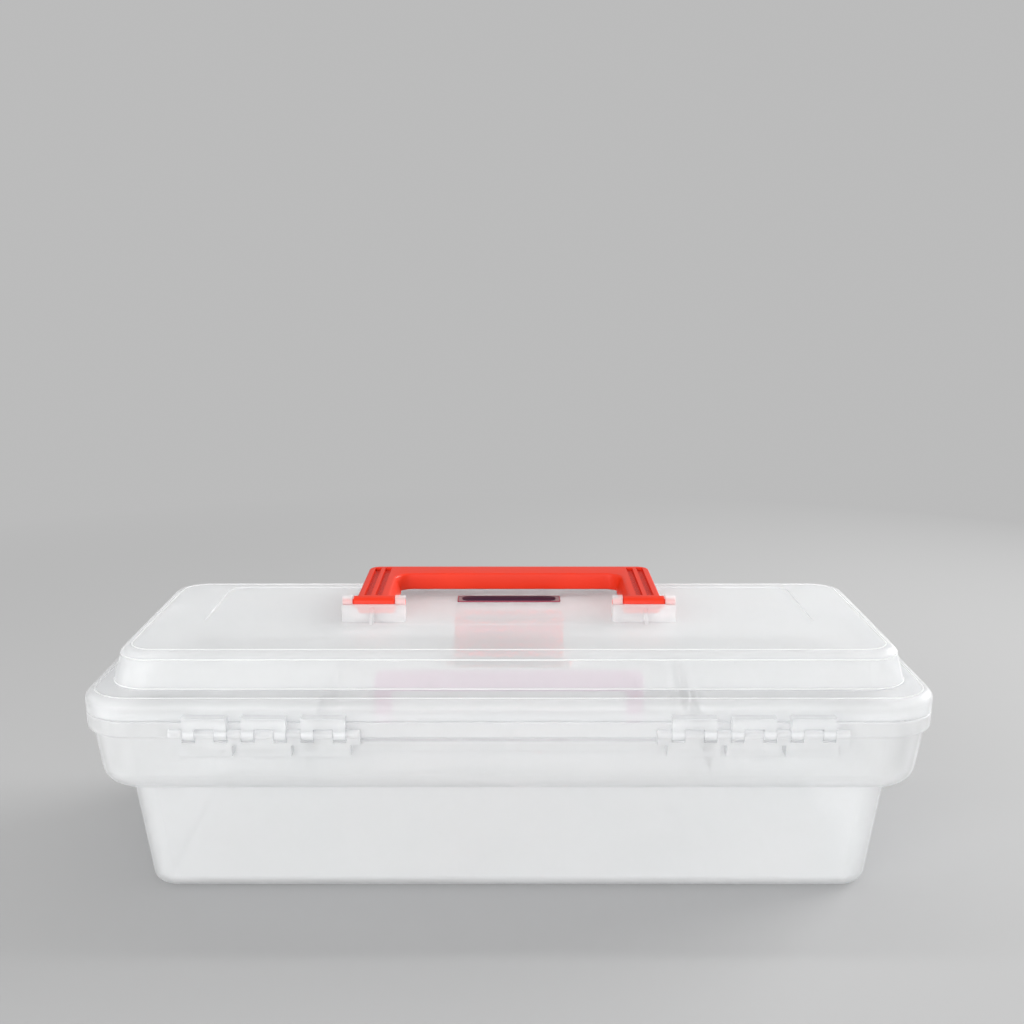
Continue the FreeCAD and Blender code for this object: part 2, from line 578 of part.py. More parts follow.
def lid_bracket(body):
    """Right pair of ears, with the stop wall and the gusset, that hold one foot of the handle."""
    axis_y = "handle_axis_back"
    stop_front = f"{axis_y} + barrel_radius + bracket_stop_gap"
    stop_back = f"{stop_front} + bracket_stop"
    foot = f"{FIELD_FLOOR} - field_depth"
    stop_top = f"{PANEL_TOP_HEIGHT} + bracket_stop_rise"
    ears = [(OUTER_EAR, f"{OUTER_EAR} + bracket_ear"), (f"{INNER_EAR} - bracket_ear", INNER_EAR)]
    plans = [(*span, f"{axis_y} - bracket_ear_radius", stop_back) for span in ears]
    block_row(body, "bracket_ears", plans, foot, HANDLE_Z)
    turned_row(body, "bracket_ear_tops", axis_y, HANDLE_Z, ears, "bracket_ear_radius")
    turned_row(body, "bracket_bores", axis_y, HANDLE_Z, ears, "pin_radius + pin_gap", cut=True)
    block_row(body, "bracket_stop", [(INNER_EAR, OUTER_EAR, stop_front, stop_back)], foot, stop_top)
    gusset = new_sketch(body, "gusset_profile", "YZ_Plane", "handle_width / 2 - handle_leg / 2")
    stop_middle = f"{stop_back} - bracket_stop / 2"
    gusset_end = f"{stop_back} + gusset_reach"
    draw_polygon(gusset, [(stop_middle, foot), (gusset_end, foot), (gusset_end, PANEL_TOP_HEIGHT),
                          (stop_middle, f"{stop_top} - 1")])
    extrude(body, "gusset", gusset, "gusset_width", middle=True)


def lid_catch(body):
    """Right half of the tongue on the front of the skirt, with the ridge that the latch closes over."""
    half = "catch_width / 2"
    low = "parting_height - catch_drop"
    skirt_middle = "0 - (rim_width / 2 - wall / 2)"
    root_top = f"{LID_BASE} + catch_root"
    block_row(body, "catch_root", [("0", half, CATCH_FACE, skirt_middle)], LID_BASE, root_top)
    block_row(body, "catch_tongue", [("0", half, CATCH_FACE, CATCH_BACK)], low, LID_BASE)
    ridge = ("0", half, f"{CATCH_FACE} - catch_ridge", CATCH_FACE)
    block_row(body, "catch_bead", [ridge], low, f"{low} + catch_ridge_height")


def make_lid():
    """The lid with its raised panel, hinge tabs, handle brackets and catch."""
    fittings = new_body("lid_fittings")
    lid_hinge(fittings)
    lid_bracket(fittings)
    lid_catch(fittings)
    mirror_left(fittings)
    body = new_body("lid")
    lid_shell(body)
    join(body, fittings)
    return body


def make_handle():
    """The carry handle, folded flat towards the front, with its pins moulded on."""
    body = new_body("handle")
    under = f"{HANDLE_TOP} - handle_thickness"
    far = "handle_axis_back - handle_reach"
    near_grip = f"{far} + grip_depth"
    outer = "handle_width / 2"
    inner = "handle_width / 2 - handle_leg"
    plan = new_sketch(body, "handle_plan", "XY_Plane", under)
    right = [(outer, far), (outer, "handle_axis_back"), (inner, "handle_axis_back"), (inner, near_grip)]
    left = [(f"0 - ({across})", along) for across, along in reversed(right)]
    draw_polygon(plan, right + left)
    extrude(body, "frame", plan, "handle_thickness")
    doc.recompute()
    box = body.Tip.Shape.BoundBox
    middle = (box.ZMin + box.ZMax) / 2

    def outer_corner(bound):
        return bound.ZLength > box.ZLength * 0.9 and bound.YMax < box.YMin + 0.01

    def inner_corner(bound):
        return (bound.ZLength > box.ZLength * 0.9 and bound.YMin > box.YMin + 1
                and bound.YMax < box.YMax - 1)

    round_edges(body, "outer_corners", "grip_corner", test=outer_corner)
    round_edges(body, "inner_corners", "grip_fillet", test=inner_corner)
    top = box.ZMax
    round_edges(body, "soft_edges", "handle_edge",
                test=lambda bound: bound.ZLength < 0.01 and bound.YMin < box.YMax - 1
                and abs(bound.ZMax - middle) > 1 and abs(bound.ZMax - top) < box.ZLength + 1)
    flares = new_sketch(body, "leg_flare_profiles", "XZ_Plane", f"0 - ({near_grip} + handle_axis_back) / 2")
    for sign in ("", "0 - "):
        draw_polygon(flares, [(f"{sign}({BARREL_INNER})", under), (f"{sign}({inner} + 1)", under),
                              (f"{sign}({inner} + 1)", f"{HANDLE_TOP} - 2 * handle_edge"),
                              (f"{sign}({inner})", f"{HANDLE_TOP} - 2 * handle_edge")])
    extrude(body, "leg_flares", flares, "handle_reach - grip_depth", middle=True)
    barrels = []
    pins = []
    for side in SIDES:
        barrels.append(mirrored_span(side, BARREL_INNER, BARREL_OUTER))
        pins.append(mirrored_span(side, f"{INNER_EAR} - bracket_ear", f"{OUTER_EAR} + bracket_ear"))
    turned_row(body, "feet", "handle_axis_back", HANDLE_Z, barrels, "barrel_radius")
    turned_row(body, "pins", "handle_axis_back", HANDLE_Z, pins, "pin_radius")
    grooves = []
    leg_middle = f"{outer} - handle_leg / 2 + groove_shift"
    for side in SIDES:
        for shift in (-0.5, 0.5):
            near, far_x = around(f"{leg_middle} + {shift} * groove_spacing", "groove_width / 2")
            grooves.append((*mirrored_span(side, near, far_x), f"{far} + groove_margin",
                            "handle_axis_back - barrel_radius / 2"))
    above = f"{HANDLE_TOP} + {OVERCUT}"
    block_row(body, "leg_grooves", grooves, f"{HANDLE_TOP} - groove_depth", above, cut=True)
    return body


def make_latch():
    """The front latch, closed, with its pins at the lower end and its hook at the top."""
    body = new_body("latch")
    outer = f"{LATCH_INNER} - latch_thickness"
    top = "latch_axis_height + latch_rise"
    hook_tip = f"{CATCH_FACE} - catch_ridge - latch_hook_gap"
    hook_low = "parting_height - catch_drop + catch_ridge_height + latch_hook_gap"
    lip_low = f"{top} - latch_lip_height"
    side = new_sketch(body, "latch_profile", "YZ_Plane", "0")
    draw_polygon(side, [(LATCH_INNER, "latch_axis_height"),
                        (LATCH_INNER, hook_low),
                        (hook_tip, hook_low),
                        (hook_tip, f"{hook_low} + latch_hook_height / 2"),
                        (LATCH_INNER, f"{hook_low} + latch_hook_height"),
                        (f"{LATCH_INNER} - latch_lip", top),
                        (f"{outer} - latch_lip", top),
                        (outer, lip_low),
                        (outer, "latch_axis_height")])
    extrude(body, "plate", side, "latch_width", middle=True)
    half = "latch_width / 2"
    turned_row(body, "foot", LATCH_Y, "latch_axis_height", [(f"0 - {half}", half)], "latch_barrel_radius")
    reach = f"{LATCH_EAR} + latch_ear"
    turned_row(body, "pivot_pins", LATCH_Y, "latch_axis_height", [(f"0 - ({reach})", reach)], "pin_radius")
    for number in range(3):
        low = f"latch_axis_height + 8 + {number} * 5"
        rib = (f"0 - ({half} - 6)", f"{half} - 6", f"{outer} - latch_rib", f"{outer} + latch_thickness / 2")
        block_row(body, f"grip_rib_{number + 1}", [rib], low, f"{low} + 2")
    return body


def make_tray():
    """The lift-out tray with its dividers, cut away round the lifting bar."""
    body = new_body("tray")
    low = rounded_outline(body, "tray_low_outline", TRAY_BASE, TRAY_LOW)
    top = rounded_outline(body, "tray_top_outline", TRAY_RIM, TRAY_TOP)
    loft(body, "tray_block", low, top)
    inner_low = rounded_outline(body, "tray_floor_outline", f"{TRAY_BASE} + tray_wall",
                                offset_in(TRAY_LOW, "tray_wall"))
    inner_top = rounded_outline(body, "tray_mouth_outline", f"{TRAY_RIM} + {OVERCUT}",
                                offset_in(TRAY_TOP, "tray_wall"))
    loft(body, "tray_hollow", inner_low, inner_top, cut=True)
    round_edges(body, "tray_inner_edge", f"{TRAY_ROUND} - tray_wall", inner_low)
    round_edges(body, "tray_edge", TRAY_ROUND, low)
    half_length, half_width, _ = TRAY_LOW
    flare = f"tray_flare * ({TRAY_RIM} - divider_drop - ({TRAY_BASE})) / tray_height"
    sketch = new_sketch(body, "long_divider_profile", "XZ_Plane", "0")
    draw_polygon(sketch, divider_profile(half_length, flare))
    extrude(body, "long_divider", sketch, "divider_thickness", middle=True)
    for number in (-1, 0, 1):
        name = f"cross_divider_profile_{number + 2}"
        sketch = new_sketch(body, name, "YZ_Plane", f"{number} * divider_pitch")
        draw_polygon(sketch, divider_profile(half_width, "0"))
        extrude(body, f"cross_divider_{number + 2}", sketch, "divider_thickness", middle=True)
    half_bail = "bail_length / 2 + bail_gap"
    half_slot = "bail_thickness / 2 + bail_gap"
    hand_room = (f"0 - ({half_bail})", half_bail, f"0 - ({half_slot})", half_slot)
    block_row(body, "hand_room", [hand_room], BAIL_SLOT_BASE, f"{TRAY_RIM} + {OVERCUT}", cut=True)
    post_near = "bail_length / 2 - bail_post - bail_gap"
    posts = [(*mirrored_span(side, post_near, half_bail), f"0 - ({half_slot})", half_slot) for side in SIDES]
    block_row(body, "post_room", posts, TRAY_FLOOR, BAIL_SLOT_BASE, cut=True)
    return body


def divider_profile(half, flare):
    """Outline of a divider across the tray, with its lower corners inside the tray's rounded wall.

    half is the tray's outside half length or half width at its base, and flare is how much further out its
    wall stands at the divider's top.
    """
    right = []
    for turn in (3, 2, 1, 0):
        angle = turn * HALF_TURN / 3
        right.append((f"{half} - ({TRAY_ROUND}) + {math.cos(angle):.6f} * ({TRAY_ROUND} - tray_wall / 2)",
                      f"{TRAY_BASE} + {TRAY_ROUND} - {math.sin(angle):.6f} * ({TRAY_ROUND} - tray_wall / 2)"))
    right.append((f"{half} + {flare} - tray_wall / 2", f"{TRAY_RIM} - divider_drop"))
    left = [(f"0 - ({across})", up) for across, up in reversed(right)]
    return right + left


def make_tray_handle():
    """The tray's lifting bar, whose two posts stand on the tray's floor beside the cut-away divider."""
    body = new_body("tray_handle")
    half = "bail_length / 2"
    inner = "bail_length / 2 - bail_post"
    top = f"{TRAY_RIM} + bail_rise"
    under = f"{top} - bail_bar"
    sketch = new_sketch(body, "bail_profile", "XZ_Plane", "0")
    left = [(f"0 - ({half})", TRAY_FLOOR), (f"0 - ({inner})", TRAY_FLOOR), (f"0 - ({inner})", under)]
    right = [(inner, under), (inner, TRAY_FLOOR), (half, TRAY_FLOOR), (half, top)]
    draw_polygon(sketch, [*left, *right, (f"0 - ({half})", top)])
    extrude(body, "bail", sketch, "bail_thickness", middle=True)
    doc.recompute()
    box = body.Tip.Shape.BoundBox
    slot_top = box.ZMax - sheet.bail_bar

    def outer_corner(bound):
        return bound.XLength < 0.01 and bound.ZLength < 0.01 and bound.ZMax > box.ZMax - 0.01

    def slot_corner(bound):
        return bound.XLength < 0.01 and bound.ZLength < 0.01 and abs(bound.ZMax - slot_top) < 0.01

    round_edges(body, "bail_corners", "bail_corner", test=outer_corner)
    round_edges(body, "bail_slot_corners", "bail_fillet", test=slot_corner)
    return body


def make_label_plate():
    """The blank label plate that lies in the lid's field, inside the handle."""
    body = new_body("label_plate")
    outline = ("plate_length / 2", "plate_width / 2", "plate_corner")
    plan = rounded_outline(body, "plate_outline", FIELD_FLOOR, outline, "0 - plate_forward")
    extrude(body, "plate", plan, "plate_thickness")
    return body


def check_and_export(parts):
    """Stop on any failed object, then write each sub-part as its own file."""
    doc.recompute()
    for item in doc.Objects:
        if "Invalid" in item.State or "Error" in item.State:
            raise RuntimeError(f"{item.Label}: {item.State}")
    os.makedirs("parts", exist_ok=True)
    for part in parts:
        shape = part.Shape
        if shape.isNull() or not shape.isValid():
            raise RuntimeError(f"{part.Label}: bad shape")
        if len(shape.Solids) != 1:
            raise RuntimeError(f"{part.Label}: {len(shape.Solids)} solids")
        box = shape.BoundBox
        print(f"{part.Label}: {shape.Volume:.0f} mm3, x {box.XMin:.1f} {box.XMax:.1f}, "
              f"y {box.YMin:.1f} {box.YMax:.1f}, z {box.ZMin:.1f} {box.ZMax:.1f}")
        shape.exportStep(f"parts/{part.Label}.step")


fill_sheet()
PARTS = [make_tub(), make_lid(), make_handle(), make_latch()]
PARTS += [make_tray(), make_tray_handle(), make_label_plate()]
check_and_export(PARTS)
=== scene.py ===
"""Looks of the clip-lid tool box: milky clear mouldings, red handle and latch, dark label."""
import logging
import math
from collections.abc import Callable
from dataclasses import dataclass
from enum import Enum

import bmesh
import bpy
from mathutils import Euler, Matrix, Vector


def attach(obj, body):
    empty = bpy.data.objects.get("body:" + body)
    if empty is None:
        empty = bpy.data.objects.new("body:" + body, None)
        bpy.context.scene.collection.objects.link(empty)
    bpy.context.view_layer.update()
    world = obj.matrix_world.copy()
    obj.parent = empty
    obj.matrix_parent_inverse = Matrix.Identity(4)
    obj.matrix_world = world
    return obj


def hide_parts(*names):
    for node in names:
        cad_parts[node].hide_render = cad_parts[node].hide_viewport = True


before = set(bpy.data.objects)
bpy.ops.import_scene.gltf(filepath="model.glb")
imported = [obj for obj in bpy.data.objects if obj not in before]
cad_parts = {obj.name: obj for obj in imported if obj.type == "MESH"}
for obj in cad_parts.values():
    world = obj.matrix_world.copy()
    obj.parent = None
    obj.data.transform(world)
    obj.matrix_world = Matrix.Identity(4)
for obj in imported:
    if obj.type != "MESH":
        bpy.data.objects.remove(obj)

LOG = logging.getLogger("tool_box")
MM = 0.001
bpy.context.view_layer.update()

Colour = tuple[int, int, int]
Point = tuple[float, float, float]
Span = tuple[float, float]
Socket = bpy.types.NodeSocket

SIDES = (-1, 1)
DOWN: Point = (0.0, 0.0, -1.0)
UP: Point = (0.0, 0.0, 1.0)
FORWARD: Point = (0.0, -1.0, 0.0)

# Tests of a mesh: cosine of a face that looks straight in a direction, and slack in millimetres.
FACING = 0.99
SLACK = 0.1
LEVEL_SLACK = 0.01
FLAT_SLACK = 0.001
SAME_PLACE = 0.0001
CUT_SLACK = 0.00001
SHARP_TURN = math.radians(35)
SMOOTH_TURN = math.radians(38)

# Sockets of Blender's Mix node when it mixes colours.
MIX_SHARE, MIX_FIRST, MIX_SECOND, MIX_RESULT = 0, 6, 7, 2
CLOUD_DETAIL = 3.0
GRAIN_DETAIL = 2.0


class Body(Enum):
    """The moving bodies that the scene's own pieces ride on."""

    LID = "lid_body"
    HANDLE = "handle_body"
    LATCH = "latch_body"


class Slot(Enum):
    """Names of three material slots; the script gives them to no piece."""

    CLEAR = "clear_plastic"
    RED = "red_plastic"
    LABEL = "dark_label"


class Rounding(Enum):
    """What a rounding follows."""

    EDGES = "EDGES"
    CORNERS = "VERTICES"


class Sum(Enum):
    """How two numbers of a material are put together."""

    HIGHER = "MAXIMUM"
    PRODUCT = "MULTIPLY"


def linear(red: int, green: int, blue: int) -> tuple[float, float, float, float]:
    """Turn a colour as seen on screen into the linear one that a shader takes.

    Args:
        red: Red, 0 to 255.
        green: Green, 0 to 255.
        blue: Blue, 0 to 255.

    Returns:
        Linear red, green and blue with an alpha of 1.
    """
    def channel(value: int) -> float:
        """Undo the screen's curve on one channel."""
        share = value / 255
        return share / 12.92 if share <= 0.04045 else ((share + 0.055) / 1.055) ** 2.4

    return channel(red), channel(green), channel(blue), 1.0


class NodeBoard:
    """Places and joins the nodes of one material or world."""

    NOISE_ROUGHNESS = 0.55

    def __init__(self, owner: bpy.types.ID, output: str = "ShaderNodeOutputMaterial") -> None:
        """Clear the nodes of a material or world down to its output.

        Args:
            owner: The material or world.
            output: Blender's type of its output node.
        """
        self.owner = owner
        owner.use_nodes = True
        self.tree = owner.node_tree
        self.tree.nodes.clear()
        self.output = self.add(output)

    def add(self, kind: str, **settings: object) -> bpy.types.Node:
        """Add a node and set its properties and its sockets.

        Args:
            kind: Blender's node type.
            **settings: Properties of the node, or its input sockets with _ for a space.

        Returns:
            The new node.
        """
        node = self.tree.nodes.new(kind)
        for key, value in settings.items():
            if key.islower():
                setattr(node, key, value)
            else:
                node.inputs[key.replace("_", " ")].default_value = value
        return node

    def join(self, source: Socket, target: Socket) -> None:
        """Join one socket to another."""
        self.tree.links.new(source, target)

    def noise(self, place: Socket, scale: float, detail: float) -> Socket:
        """Add a noise pattern.

        Args:
            place: Where the pattern is read.
            scale: Cells in a metre.
            detail: Octaves of finer noise.

        Returns:
            The pattern's value socket.
        """
        node = self.add("ShaderNodeTexNoise", Scale=scale, Detail=detail,
                        Roughness=self.NOISE_ROUGHNESS)
        self.join(place, node.inputs["Vector"])
        return node.outputs["Fac"]

    def spread(self, value: Socket, low: float, high: float,
               start: float = 0.3, end: float = 0.7) -> Socket:
        """Map a pattern from its usual spread to a range.

        Args:
            value: The pattern.
            low: Result at the start.
            high: Result at the end.
            start: Pattern value that gives low.
            end: Pattern value that gives high.

        Returns:
            The mapped socket.
        """
        node = self.add("ShaderNodeMapRange", From_Min=start, From_Max=end, To_Min=low, To_Max=high)
        self.join(value, node.inputs["Value"])
        return node.outputs["Result"]

    def bump(self, height: Socket, strength: float, distance: float) -> Socket:
        """Turn a pattern into a bumped normal.

        Args:
            height: The pattern.
            strength: Share of the full effect.
            distance: Height of the bumps in metres.

        Returns:
            The normal socket.
        """
        node = self.add("ShaderNodeBump", Strength=strength, Distance=distance)
        self.join(height, node.inputs["Height"])
        return node.outputs["Normal"]

    def two_tone(self, share: Socket, first: Colour, second: Colour) -> Socket:
        """Mix two colours by a pattern.

        Args:
            share: The pattern, 0 for the first colour and 1 for the second.
            first: First colour.
            second: Second colour.

        Returns:
            The mixed colour's socket.
        """
        node = self.add("ShaderNodeMix", data_type="RGBA")
        node.inputs[MIX_FIRST].default_value = linear(*first)
        node.inputs[MIX_SECOND].default_value = linear(*second)
        self.join(share, node.inputs[MIX_SHARE])
        return node.outputs[MIX_RESULT]

    def combine(self, how: Sum, first: Socket, second: Socket) -> Socket:
        """Put two numbers together.

        Args:
            how: The operation.
            first: First number.
            second: Second number.

        Returns:
            The result's socket.
        """
        node = self.add("ShaderNodeMath", operation=how.value)
        self.join(first, node.inputs[0])
        self.join(second, node.inputs[1])
        return node.outputs[0]

    def blend(self, share: Socket, first: bpy.types.Node, second: bpy.types.Node) -> bpy.types.Node:
        """Mix two shaders.

        Args:
            share: 0 for the first shader and 1 for the second.
            first: First shader.
            second: Second shader.

        Returns:
            The mixing node.
        """
        node = self.add("ShaderNodeMixShader")
        sources = (share, first.outputs[0], second.outputs[0])
        for source, target in zip(sources, node.inputs):
            self.join(source, target)
        return node

    def finish(self, shader: bpy.types.Node) -> bpy.types.ID:
        """Join the last shader to the output and hand over the material or world."""
        self.join(shader.outputs[0], self.output.inputs["Surface"])
        return self.owner


def is_level(edge: bmesh.types.BMEdge) -> bool:
    """Tell whether both ends of an edge lie at one height."""
    return abs(edge.verts[0].co.z - edge.verts[1].co.z) < LEVEL_SLACK


def edges_of(verts: list[bmesh.types.BMVert]) -> list[bmesh.types.BMEdge]:
    """List the edges at some vertices once each, in an order that every run repeats."""
    return list(dict.fromkeys(edge for vert in verts for edge in vert.link_edges))


class Moulding:
    """One moulded shape, drawn in millimetres and turned into a piece in metres."""

    CORNER_STEPS = 8
    EDGE_STEPS = 3
    RING_STEPS = 2
    RING_SOFT = 0.3
    BAR_SIDES = 48

    def __init__(self) -> None:
        """Start with an empty mesh."""
        self.shape = bmesh.new()

    def round_off(self, geom: list, radius: float, steps: int,
                  follow: Rounding = Rounding.EDGES, clamp: bool = False) -> None:
        """Round edges, or the corners of a flat outline.

        Args:
            geom: The edges or corners.
            radius: Width of the rounding.
            steps: Segments across it.
            follow: What the rounding follows.
            clamp: Whether roundings stop where they meet.
        """
        bmesh.ops.bevel(self.shape, geom=geom, offset=radius, offset_type="OFFSET", segments=steps,
                        profile=0.5, affect=follow.value, clamp_overlap=clamp, material=-1)

    def plate(self, outline: list[Span], level: float, thickness: float,
              rounded: dict[int, float]) -> None:
        """Draw a flat outline, round some of its corners and give it a thickness downwards.

        Args:
            outline: Corners in order, as X and Y.
            level: Height of the upper side.
            thickness: Depth below that side.
            rounded: Corner radius by corner number.
        """
        corners = [self.shape.verts.new((x, y, level)) for x, y in outline]
        self.shape.faces.new(corners)
        for number, radius in rounded.items():
            self.round_off([corners[number]], radius, self.CORNER_STEPS, Rounding.CORNERS)
        faces = [face for face in self.shape.faces
                 if all(abs(vert.co.z - level) < FLAT_SLACK for vert in face.verts)]
        made = bmesh.ops.extrude_face_region(self.shape, geom=faces)
        lower = [item for item in made["geom"] if isinstance(item, bmesh.types.BMVert)]
        bmesh.ops.translate(self.shape, verts=lower, vec=(0.0, 0.0, -thickness))
        bmesh.ops.recalc_face_normals(self.shape, faces=self.shape.faces)

    def block(self, low: Point, high: Point, soft: float = 0.0) -> None:
        """Add a box, with its edges softened if asked.

        Args:
            low: Lowest corner.
            high: Highest corner.
            soft: Rounding of its edges.
        """
        size = Vector(high) - Vector(low)
        middle = (Vector(low) + Vector(high)) / 2
        place = Matrix.Translation(middle) @ Matrix.Diagonal((*size, 1.0))
        corners = bmesh.ops.create_cube(self.shape, size=1.0, matrix=place)["verts"]
        if soft:
            self.round_off(edges_of(corners), soft, self.EDGE_STEPS)

    def bar(self, start: float, end: float, y: float, z: float, radius: float,
            soft: float = 0.4) -> None:
        """Add a round bar along X with softened ends.

        Args:
            start: Lower X.
            end: Higher X.
            y: Its axis, front to back.
            z: Height of its axis.
            radius: Its radius.
            soft: Rounding of its ends.
        """
        middle = Matrix.Translation(((start + end) / 2, y, z))
        place = middle @ Matrix.Rotation(math.pi / 2, 4, "Y")
        made = bmesh.ops.create_cone(self.shape, cap_ends=True, segments=self.BAR_SIDES,
                                     radius1=radius, radius2=radius, depth=end - start,
                                     matrix=place)["verts"]
        ends = [edge for edge in edges_of(made)
                if abs(edge.verts[0].co.x - edge.verts[1].co.x) < SAME_PLACE]
        self.round_off(ends, soft, self.EDGE_STEPS)

    def soften(self, radius: float, steps: int, keep: Callable[[bmesh.types.BMEdge], bool]) -> None:
        """Round the sharp edges that a test keeps.

        Args:
            radius: Width of the rounding.
            steps: Segments across it.
            keep: Test of an edge.
        """
        edges = [edge for edge in self.shape.edges
                 if edge.is_manifold and edge.calc_face_angle(0.0) > SHARP_TURN and keep(edge)]
        self.round_off(edges, radius, steps, clamp=True)

    def ring(self, half: Span, corner: float, top: float, size: Span) -> None:
        """Add a flat closed band that follows a rounded rectangle.

        Args:
            half: Half length and half width of its outer side.
            corner: Radius of its outer corners.
            top: Height of its upper side.
            size: Its width in plan and its height.
        """
        other = Moulding()
        length, width = half
        outline = [(-length, -width), (length, -width), (length, width), (-length, width)]
        other.plate(outline, top, size[1], {number: corner for number in range(4)})
        caps = sorted(other.shape.faces, key=lambda face: abs(face.normal.z), reverse=True)[:2]
        for cap in caps:
            bmesh.ops.inset_region(other.shape, faces=[cap], thickness=size[0],
                                   use_even_offset=True)
        bmesh.ops.delete(other.shape, geom=caps, context="FACES_ONLY")
        rims = [edge for edge in other.shape.edges if edge.is_boundary]
        bmesh.ops.bridge_loops(other.shape, edges=rims)
        bmesh.ops.recalc_face_normals(other.shape, faces=other.shape.faces)
        other.soften(min(size) * self.RING_SOFT, self.RING_STEPS, is_level)
        mesh = bpy.data.meshes.new("ring")
        other.shape.to_mesh(mesh)
        other.shape.free()
        self.shape.from_mesh(mesh)
        bpy.data.meshes.remove(mesh)

    def slice(self, point: Point, normal: Point) -> None:
        """Draw a line of new edges where a plane meets the mesh.

        Args:
            point: A point of the plane.
            normal: The direction that the plane faces.
        """
        geom = list(self.shape.verts) + list(self.shape.edges) + list(self.shape.faces)
        bmesh.ops.bisect_plane(self.shape, geom=geom, dist=CUT_SLACK, plane_co=point,
                               plane_no=normal)

    def widest(self, towards: Point) -> bmesh.types.BMFace:
        """Find the largest face that looks straight in a direction.

        Args:
            towards: The direction.

        Returns:
            The face.
        """
        aim = Vector(towards)
        return max((face for face in self.shape.faces if face.normal.dot(aim) > FACING),
                   key=lambda face: face.calc_area())

    def sink(self, faces: list[bmesh.types.BMFace], move: Point, finish: int = 0) -> None:
        """Push faces in and keep walls round them.

        Args:
            faces: Faces to move.
            move: How far, as X, Y and Z.
            finish: Material number of the floor that results.
        """
        made = bmesh.ops.extrude_face_region(self.shape, geom=faces)
        floor = [item for item in made["geom"] if isinstance(item, bmesh.types.BMVert)]
        bmesh.ops.translate(self.shape, verts=floor, vec=move)
        for item in made["geom"]:
            if isinstance(item, bmesh.types.BMFace):
                item.material_index = finish
        left = [face for face in faces if face.is_valid]
        bmesh.ops.delete(self.shape, geom=left, context="FACES_ONLY")

    def piece(self, name: str, body: Body,
              finishes: list[bpy.types.Material]) -> bpy.types.Object:
        """Turn the mesh into an object that rides on a body.

        Args:
            name: Its name.
            body: The body it moves with.
            finishes: Its materials in order.

        Returns:
            The finished object.
        """
        bmesh.ops.scale(self.shape, verts=self.shape.verts, vec=(MM, MM, MM))
        mesh = bpy.data.meshes.new(name)
        self.shape.to_mesh(mesh)
        self.shape.free()
        mesh.shade_smooth()
        mesh.set_sharp_from_angle(angle=SMOOTH_TURN)
        for finish in finishes:
            mesh.materials.append(finish)
        made = bpy.data.objects.new(name, mesh)
        bpy.context.scene.collection.objects.link(made)
        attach(made, body.value)
        LOG.info("%s rides on %s, %d faces", name, body.value, len(mesh.polygons))
        return made


@dataclass(frozen=True)
class MilkyPlastic:
    """Unpigmented polypropylene: cloudy, see-through face on and denser along edges."""

    name: str = "milky_polypropylene"
    pale: Colour = (246, 248, 252)
    cloudy: Colour = (243, 246, 250)
    face_density: float = 0.3
    edge_density: float = 0.65
    edge_blend: float = 0.35
    edge_start: float = 0.55
    roughness: float = 0.19
    smoother: float = 0.03
    rougher: float = 0.05
    refraction: float = 1.49
    shine: float = 0.3
    scatter: float = 0.0018
    cloud_cells: float = 14.0
    cloud_spread: Span = (0.1, 0.9)
    grain: float = 0.00001
    grain_cells: float = 700.0
    grain_strength: float = 0.25

    def make(self) -> bpy.types.Material:
        """Build the material.

        Returns:
            The finished material.
        """
        board = NodeBoard(bpy.data.materials.new(self.name))
        place = board.add("ShaderNodeTexCoord").outputs["Object"]
        cloud = board.noise(place, self.cloud_cells, CLOUD_DETAIL)
        fine = board.noise(place, self.grain_cells, GRAIN_DETAIL)
        share = board.spread(cloud, 0.0, 1.0, *self.cloud_spread)
        shader = board.add("ShaderNodeBsdfPrincipled", IOR=self.refraction,
                           Specular_IOR_Level=self.shine, Subsurface_Weight=1.0,
                           Subsurface_Scale=self.scatter, Subsurface_Radius=(1.0, 1.0, 1.0))
        board.join(board.two_tone(share, self.cloudy, self.pale), shader.inputs["Base Color"])
        rough = board.spread(cloud, self.roughness - self.smoother, self.roughness + self.rougher,
                             *self.cloud_spread)
        board.join(rough, shader.inputs["Roughness"])
        rim = board.add("ShaderNodeLayerWeight", Blend=self.edge_blend).outputs["Facing"]
        density = board.spread(rim, self.face_density, self.edge_density, self.edge_start, 1.0)
        board.join(density, shader.inputs["Alpha"])
        bumps = board.bump(fine, self.grain_strength, self.grain)
        board.join(bumps, shader.inputs["Normal"])
        return board.finish(shader)


